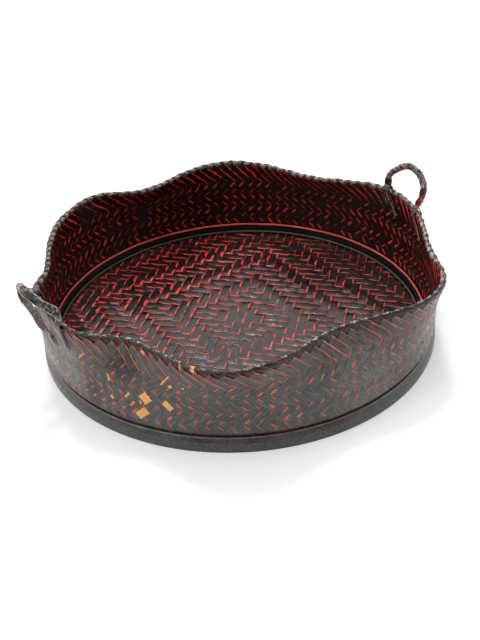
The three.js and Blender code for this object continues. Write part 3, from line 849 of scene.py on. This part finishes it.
# Strips that cover the rim: up the outside, over the core and down the inside
def coveringStrips():
    count = weave["strips"]
    rows = np.linspace(foldRow, weave["lastRow"], int((weave["lastRow"] - foldRow) * weave["perRow"]))
    bend = np.linspace(0, foldLength, fold["steps"])
    wall = (rows[1:] - foldRow) * weave["rowHeight"]
    distance = np.concatenate([-wall[::-1], bend, foldLength + wall])
    t = np.concatenate([rows[:0:-1], np.full(len(bend), foldRow), rows[1:]])
    inside = distance > foldLength / 2
    zone, lift, along = floats(t, True)
    jitter = rng.normal(0, 1, (count, 6))
    drift = halfPitch / weave["rowHeight"]  # degrees round per metre of way
    start = np.arange(count) * 360 / count + halfPitch * foldRow
    distances = perStation(distance)
    azimuth = perStrip(start) - drift * distances
    fromTop = np.abs(distance - foldLength / 2)
    onBead = foldLength / 2 - fold["bead"] + fold["beadRamp"] / 2 - fromTop
    folded = perStation(smooth(onBead / fold["beadRamp"]))
    swell = fold["unevenness"] * perStrip(jitter[:, 3] - fold["lower"])
    swell = swell + fold["lean"] * columnCross * perStrip(jitter[:, 4])
    crown = columnCrown * (weave["crown"] + (fold["crown"] - weave["crown"]) * folded)
    depth = np.minimum(lift * (1 - folded) + folded * swell, 0) - columnDrop * weave["thickness"] - crown
    depth = depth + leaning(jitter, zone) * (1 - folded)
    seeds = rng.random((count, 12))[:, np.where(zone < 0, 0, zone + 1 + 6 * inside)]
    arrays = {"seed": bothSides(seeds, 1), "way": distances * 100,
              "uncrossed": perStation((zone < 0) * 1.0)}
    low, high = len(wall), len(wall) + len(bend) - 1
    parts = [("outerWallFalling", 0, low, [outerLacquer], "outer_basket"),
             ("rimFolds", low, high, [outerLacquer, rimLacquer, innerLacquer], "rim_binding"),
             ("innerWallFalling", high, len(t) - 1, [innerLacquer], "inner_lining")]
    for name, a, b, looks, node in parts:
        cut = slice(a, b + 1)
        values = {key: numbers[:, cut] for key, numbers in arrays.items()}
        way, around, lies, place = [numbers[:, cut] for numbers in (distances, azimuth, depth, along)]
        mesh = wallMesh(name, way, around, lies, -1, place, values, jitter)
        if len(looks) > 1:
            middles = np.repeat((distance[a:b] + distance[a + 1:b + 1]) / 2, len(columnCross) - 1)
            slots = (middles > fold["bead"]) * 1 + (middles > foldLength - fold["bead"])
            mesh.polygons.foreach_set("material_index", np.tile(slots, count).astype(np.int32))
        makePiece(mesh, looks, node)
    return start - drift * foldLength


# Strips of the other direction on one face of the wall. Their upper ends are under the fold.
def crossingStrips(name, outside, start, look, node):
    count = weave["strips"]
    rows = np.linspace(0, weave["lastRow"], weave["crossingStations"])
    if outside:
        rows = rows[::-1]
    zone, lift, along = floats(rows, False)
    jitter = rng.normal(0, 1, (count, 6))
    down = (rows - foldRow) * weave["rowHeight"]
    distance = perStation(-down if outside else foldLength + down)
    azimuth = perStrip(start) + (-1 if outside else 1) * halfPitch * perStation(rows - foldRow)
    tucked = lift - weave["tuckDepth"] * perStation(smooth((foldRow + 1 - rows) / weave["tuckRows"]))
    depth = tucked - columnDrop * weave["thickness"] - columnCrown * weave["crown"] + leaning(jitter, zone)
    seeds = rng.random((count, 12))[:, zone + 1]
    values = {"seed": bothSides(seeds, -1), "way": distance * 100, "uncrossed": 0.0}
    makePiece(wallMesh(name, distance, azimuth, depth, 1, along, values, jitter), [look], node)


outsideStart = np.arange(weave["strips"]) * 360 / weave["strips"]
insideStart = coveringStrips()
foldTurn = halfPitch * foldRow  # degrees between row 0 and the fold
crossingStrips("outerWallRising", True, outsideStart - foldTurn, outerLacquer, "outer_basket")
crossingStrips("innerWallRising", False, insideStart + 2 * foldTurn, innerLacquer, "inner_lining")
print("walls woven")


# Red-lacquered layer that shows through the gaps of both walls: height, and offsets of its
# outer and its inner face
backingShape = [
    (0.0024, 0.0003, -0.0001), (footTop, 0.0005, -0.0003), (0.02, 0.0005, -0.0003),
    (0.035, 0.0005, -0.0003), (0.05, 0.0005, -0.0003), (0.062, 0.0005, -0.0003),
    (0.071, 0.0009, -0.0007), (0.0748, 0.0012, -0.001),
]


def wallBacking():
    azimuth = np.linspace(0, 360, 361)[:, None]
    height, outer, inner = np.array(backingShape).T
    height = np.concatenate([height, height[::-1]])
    offset = np.concatenate([outer, inner[::-1]])
    mesh = gridMesh("wallBacking", wallPoint(azimuth, height, offset)[None], {}, {})
    weld(mesh)
    makePiece(mesh, [backing], "outer_basket")


wallBacking()


# The woven floor, in concentric diamonds. Each pitch is from one row or column to the next.
mat = {
    "middle": (0.0008, -0.0025),  # of the diamonds, from the axis of the tray
    "run": {"rows": -40.2, "columns": 51.6},  # directions in which they run
    "pitch": {"rows": 0.00815, "columns": 0.00767},
    "shift": {"rows": 0.5, "columns": 0.0},  # rows are mirrored about the line between two
    "float": 3,
    "halfWidth": 0.515,  # of a strip, in pitches
    "thickness": 0.0005,
    "depth": 0.0008,
    "dip": 0.5,  # of a pitch
    "bow": 0.00015,
    "sunk": 0.00018,
    "crown": 0.00024,
    "perCell": 4,
    "leftOut": 0.2,  # a strip this near the edge of the circle is left out, in pitches
    "inset": 0.0006,  # of the floor from the edge of its CAD piece
    "outset": 0.0008,  # of the base beyond the line between the skins of the wall
    "uneven": {"width": 0.02, "wander": 0.00015, "wanderPerPitch": 0.5, "lean": 0.00022},
    "backing": {"floor": -0.0017, "base": 0.0018, "thickness": 0.0003, "hole": 0.0001},
}


def columnOnTop(i, k):
    b = np.where(k >= 0, k, -1 - k)
    return (np.abs(i) + b) % (2 * mat["float"]) < mat["float"]


def unit(direction):
    return np.array([math.cos(math.radians(direction)), math.sin(math.radians(direction))])


# Floats of each strip, for a table of the strips it crosses: on top or under, start and length
def matFloats(kind, numbers, table):
    if kind == "rows":
        upper = ~columnOnTop(table[None, :], numbers[:, None])
    else:
        upper = columnOnTop(numbers[:, None], table[None, :])
    begin, span = np.zeros(upper.shape), np.ones(upper.shape)
    for row, above in enumerate(upper):
        edges = np.flatnonzero(np.diff(above.astype(int))) + 1
        ends = [0, *edges, len(table)]
        for a, b in zip(ends[:-1], ends[1:]):
            begin[row, a:b] = table[a] - 0.5
            span[row, a:b] = b - a
    return upper, begin, span


# How far stations move along their strip so that none is outside the circle
def pullIn(x, y, run, distance, reach):
    bx = x - trayAxis.x - run[0] * distance
    by = y - trayAxis.y - run[1] * distance
    dot = bx * run[0] + by * run[1]
    away = bx * bx + by * by - reach * reach
    root = np.sqrt(np.maximum(dot * dot - away, 1e-12))
    return np.clip(distance, -dot - root, -dot + root) - distance


# One set of parallel strips, cut to a circle. Height falls below top, or rises above it for
# the underside.
def matStrips(name, kind, top, reach, facing, node):
    other = "columns" if kind == "rows" else "rows"
    pitch, step, perCell = mat["pitch"][kind], mat["pitch"][other], mat["perCell"]
    run, side = unit(mat["run"][kind]), unit(mat["run"][other])
    count = int(reach / pitch) + 2
    numbers = np.arange(-count, count + 1)
    cells = int(reach / step) + 3
    t = np.arange(-cells * perCell, cells * perCell + 1) / perCell
    jitter = rng.normal(0, 1, (len(numbers), 6))
    lateral = (numbers + mat["shift"][kind]) * pitch
    keep = np.abs(lateral) < reach - pitch * mat["leftOut"]
    numbers, lateral, jitter = numbers[keep], lateral[keep], jitter[keep]
    uneven = mat["uneven"]
    cross = columnCross * (pitch * mat["halfWidth"]) * perStrip(1 + uneven["width"] * jitter[:, 0])
    wave = perStation(t) * uneven["wanderPerPitch"] + perStrip(unevenness["phase"] * jitter[:, 1])
    cross = cross + uneven["wander"] * np.sin(wave)
    distance = perStation(t) * step
    x = trayAxis.x + mat["middle"][0] + side[0] * (perStrip(lateral) + cross) + run[0] * distance
    y = trayAxis.y + mat["middle"][1] + side[1] * (perStrip(lateral) + cross) + run[1] * distance
    pulled = pullIn(x, y, run, distance, reach)
    x, y = x + run[0] * pulled, y + run[1] * pulled

    position = t - mat["shift"][other]
    table = np.arange(-cells - 2, cells + 3)
    column = np.clip(np.round(position).astype(int) - table[0], 0, len(table) - 1)
    onTop, begin, span = [array[:, column, None] for array in matFloats(kind, numbers, table)]
    place = perStation(position) - begin
    lift = overAndUnder(onTop, onTop, np.minimum(place, span - place), place / span, mat)
    seeds = rng.random(997)  # a prime, so that strips and floats share few seeds
    seed = seeds[(np.round(begin * 2).astype(int) * 31 + perStrip(numbers) * 57) % len(seeds)]
    lean = columnCross * (seed - 0.5) * uneven["lean"]
    drop = columnDrop * mat["thickness"] + columnCrown * mat["crown"]
    points = np.stack([x, y, top + facing * (lift - drop + lean)], -1)
    # long floats at the turn of a diamond carry marks at each end of them too
    along = np.where(onTop, np.where(place > span / 2, mat["float"] - (span - place), place), -1.0)
    values = {"seed": seed, "way": distance * 100}
    mesh = gridMesh(name, points, {"Strip": (columnCross, along)}, values, flip=facing < 0)
    makePiece(mesh, [floorLacquer], node)


matLow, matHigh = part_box("floor_mat")
matRadius = (matHigh.x - matLow.x) / 2 - mat["inset"]
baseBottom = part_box("outer_basket")[0].z
baseRadius = wallShape["footLine"] + mat["outset"]
layers = [("floor", matHigh.z, matRadius, 1, "floor_mat"),
          ("base", baseBottom, baseRadius, -1, "outer_basket")]
for layer, z, radius, facing, node in layers:
    matStrips(layer + "Rows", "rows", z, radius, facing, node)
    matStrips(layer + "Columns", "columns", z, radius, facing, node)
for layer, z, radius, facing, node in layers:
    top = z + mat["backing"][layer]
    bottom, hole = top - mat["backing"]["thickness"], mat["backing"]["hole"]
    outline = [(hole, top), (radius, top), (radius, bottom), (hole, bottom)]
    makePiece(turned(layer + "Backing", outline, 120), [backing], node)
print("floor woven")


# The smooth hoops and the cord on the floor. A line runs along the outline from one of its
# rounded points to another, with so much more or less, in centimetres.
hoops = {
    "foot": {
        "thickness": 0.0038, "top": 0.0012, "bevel": (0.0004, 0.0048), "round": 0.0007,
        "lineEnds": (12, -0.06, 12, 0.03),
        "scale": 35.0, "gloss": 0.26, "dull": 0.42, "dark": "grey", "warm": "brown", "bump": 0.25,
        "mostly": "red", "partly": "cream", "tint": (0.42, 0.6), "shown": (0.0, 0.7)},
    "inner": {
        "foot": 0.0031, "top": 0.0013, "round": 0.0004, "lineEnds": (12, 0.0, 15, 0.12),
        "scale": 35.0, "gloss": 0.2, "dull": 0.34, "dark": "black", "warm": "warm", "bump": 0.2,
        "mostly": "coral", "partly": "red", "tint": (0.4, 0.8), "shown": (0.9, 1.0)},
    "cord": {
        "sides": 12, "scale": 120.0, "gloss": 0.22, "dull": 0.4, "dark": "brown", "warm": "grey",
        "bump": 0.3},
}


def footOutline(look, low, high):
    outside = (high.x - low.x) / 2
    inside = outside - look["thickness"]
    inwards, down = look["bevel"]
    return [(inside, low.z), (outside, low.z), (outside - inwards, high.z - down),
            (inside + look["top"], high.z), (inside, high.z)]


def innerOutline(look, low, high):
    outside = (high.x - low.x) / 2
    return [(outside - look["foot"], low.z), (outside, low.z), (outside, high.z),
            (outside - look["top"], high.z)]


def cordOutline(look, low, high):
    radius = (high.z - low.z) / 2
    middle = (high.x - low.x) / 2 - radius
    turns = np.arange(look["sides"]) * 2 * math.pi / look["sides"]
    return [(middle + radius * math.cos(a), (high.z + low.z) / 2 + radius * math.sin(a)) for a in turns]


for name, key, outlineOf, node, slot in (
        ("footHoop", "foot", footOutline, "foot_hoop", "hoop_lacquer"),
        ("innerHoop", "inner", innerOutline, "inner_hoop", "hoop_lacquer"),
        ("floorCord", "cord", cordOutline, "floor_cord", "cord_lacquer")):
    look = dict(hoops[key])
    outline = outlineOf(look, *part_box(node))
    if "round" in look:
        outline = rounded(outline, look["round"])
        first, before, last, after = look["lineEnds"]
        reach = reachAlong(outline)
        look["line"] = (reach[first] + before, reach[last] + after)
    material = makeHoopLacquer("cordLacquer" if key == "cord" else name + "Lacquer", look)
    makePiece(turned(name, outline), [material], node)
print("hoops made")

handleLook = {
    "sharp": 50,  # edges with more degrees than this are softened and worn
    "softEdge": 0.0003,
    "wearReach": 1.4,  # in soft edges, from a worn edge
    "scale": 130.0, "gloss": 0.1, "dull": 0.26, "dark": "black", "warm": "grey", "bump": 1.0,
    "flecks": (0.5, 0.66), "edges": (1.26, 1.42), "partly": "red",
    "sides": {"right": {"mostly": "paleWearAndLight", "tint": (0.5, 0.58)},
              "left": {"mostly": "cream", "tint": (0.6, 0.66)}},
    "pinch": {"middle": (0.1642, -0.0276, 0.0778), "azimuth": -23.4, "reach": 0.003, "share": 0.97},
}


# Where two strips part at a foot of the right handle they are drawn together, as in the photo
def pinched(place):
    pinch = handleLook["pinch"]
    side = Vector((*unit(pinch["azimuth"]), 0))
    away = place - Vector(pinch["middle"])
    return place - side * side.dot(away) * pinch["share"] * math.exp(-(away.length / pinch["reach"]) ** 2 / 2)


# A CAD strip with soft edges, each vertex near one marked for wear, and rounder turns
def handleStrip(side, letter, material):
    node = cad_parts[f"{side}_handle_strip_{letter}"]
    body = bmesh.new()
    body.from_mesh(node.data)
    joinDoubles(body)
    for vertex in body.verts:
        vertex.co = pinched(vertex.co)
    sharp = [edge for edge in body.edges if edge.calc_face_angle(0) > math.radians(handleLook["sharp"])]
    onEdges = []
    for edge in sharp:
        a, b = edge.verts[0].co, edge.verts[1].co
        pieces = max(int((b - a).length / handleLook["softEdge"]), 1)
        onEdges += [a.lerp(b, k / pieces) for k in range(pieces + 1)]
    tree = KDTree(len(onEdges))
    for k, place in enumerate(onEdges):
        tree.insert(place, k)
    tree.balance()
    bmesh.ops.bevel(body, geom=sharp, offset=handleLook["softEdge"], segments=2, affect="EDGES")
    mesh = bpy.data.meshes.new(f"{side}Handle{letter.upper()}")
    body.to_mesh(mesh)
    body.free()
    near = handleLook["wearReach"] * handleLook["softEdge"]
    wearAndLight = [tree.find(vertex.co)[2] < near for vertex in mesh.vertices]
    mesh.attributes.new("edge", "FLOAT", "POINT").data.foreach_set("value", np.array(wearAndLight, np.float32))
    mesh.shade_smooth()
    thing = makePiece(mesh, [material], node.name)
    thing.modifiers.new("rounder", "SUBSURF").render_levels = 1


for side, look in handleLook["sides"].items():
    handleLacquer = makeHoopLacquer(side + "HandleLacquer", {**handleLook, **look})
    for letter in ("a", "b"):
        handleStrip(side, letter, handleLacquer)
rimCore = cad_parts["rim_core"].data
rimCore.materials.clear()
rimCore.materials.append(makeHoopLacquer("coreLacquer", hiddenLooks["core"]))
print("handles made")

# White all round, but for a dark card behind the camera. Directions are in degrees.
studio = {
    "floor": (0.96, 0.96, 0.96, 1),
    "floorSize": 6,
    "floorRoughness": 0.9,
    "floorSpecular": 0.1,
    "floorLift": 0.2,  # brings the floor that the camera sees to white, and keeps its shadow
    "white": (1, 1, 1, 1),
    "card": (0.05, 0.06, 0.06, 1),
    "cardAzimuth": 246.6,
    "cardHeight": 14,
    "cardRadius": 58,
    "cardEdge": 10,
    "suns": {  # azimuth, height, energy and angle
        "frontSun": (205, 50, 0.9, 60),
        "backSun": (75, 62, 0.9, 10),
    },
}


def makeFloor():
    size = studio["floorSize"]
    corners = [(-size, -size, 0), (size, -size, 0), (size, size, 0), (-size, size, 0)]
    mesh = bpy.data.meshes.new("studioFloor")
    mesh.from_pydata(corners, [], [(0, 1, 2, 3)])
    material, n, shader = startMaterial("studioFloor")
    shader["Base Color"].default_value = studio["floor"]
    shader["Roughness"].default_value = studio["floorRoughness"]
    shader["Specular IOR Level"].default_value = studio["floorSpecular"]
    shader["Emission Strength"].default_value = 1.0
    rays = n.add("LightPath")
    seen = n.math("MAXIMUM", rays["Is Camera Ray"], rays["Is Glossy Ray"])
    lift = (studio["floorLift"],) * 3 + (1,)
    n.put(n.mix(seen, (0, 0, 0, 1), lift), shader["Emission Color"])
    mesh.materials.append(material)
    addToScene(mesh)


def makeLight():
    world = bpy.data.worlds.new("studio")
    world.use_nodes = True
    bpy.context.scene.world = world
    n = Nodes(world.node_tree)
    azimuth, height = math.radians(studio["cardAzimuth"]), math.radians(studio["cardHeight"])
    card = (math.cos(azimuth) * math.cos(height), math.sin(azimuth) * math.cos(height), math.sin(height))
    near = n.vectors("DOT_PRODUCT", n.add("TexCoord")["Generated"], card)["Value"]
    outer = math.cos(math.radians(studio["cardRadius"] + studio["cardEdge"]))
    inner = math.cos(math.radians(studio["cardRadius"] - studio["cardEdge"]))
    shown = n.mix(n.remap(near, outer, inner), studio["white"], studio["card"])
    seen = n.add("LightPath")["Is Camera Ray"]
    background = world.node_tree.nodes["Background"]
    n.put(n.mix(seen, shown, studio["white"]), background.inputs["Color"])
    background.inputs["Strength"].default_value = 1.0
    for name, (azimuth, height, energy, angle) in studio["suns"].items():
        data = bpy.data.lights.new(name, "SUN")
        data.energy = energy
        data.angle = math.radians(angle)
        sun = addToScene(data)
        sun.rotation_euler = (math.radians(90 - height), 0, math.radians(azimuth + 90))


photoView = {
    "lens": 45,
    "towards": 66.6,  # azimuth in which the camera looks
    "down": 33.793,
    "roll": 3.2466,
    "distance": 0.691248,
    "sideways": -0.000848,
    "upwards": -0.000284,
}


def makeCamera():
    turn = Matrix.Rotation(math.radians(photoView["towards"] - 90), 3, "Z")
    down, roll = math.radians(photoView["down"]), math.radians(photoView["roll"])
    level, rise = Vector((1, 0, 0)), Vector((0, math.sin(down), math.cos(down)))
    forward = turn @ Vector((0, math.cos(down), -math.sin(down)))
    right = turn @ (math.cos(roll) * level - math.sin(roll) * rise)
    up = turn @ (math.sin(roll) * level + math.cos(roll) * rise)
    place = -photoView["sideways"] * right - photoView["upwards"] * up - photoView["distance"] * forward
    data = bpy.data.cameras.new("photoCamera")
    data.lens = photoView["lens"]
    data.sensor_width = 36
    data.clip_start = 0.01
    camera = addToScene(data)
    axes = Matrix((right, up, -forward)).transposed().to_4x4()
    camera.matrix_world = Matrix.Translation(place + Vector((trayAxis.x, trayAxis.y, 0))) @ axes
    bpy.context.scene.camera = camera


makeFloor()
makeLight()
makeCamera()
bpy.context.scene.view_settings.view_transform = "Standard"
print("studio set")
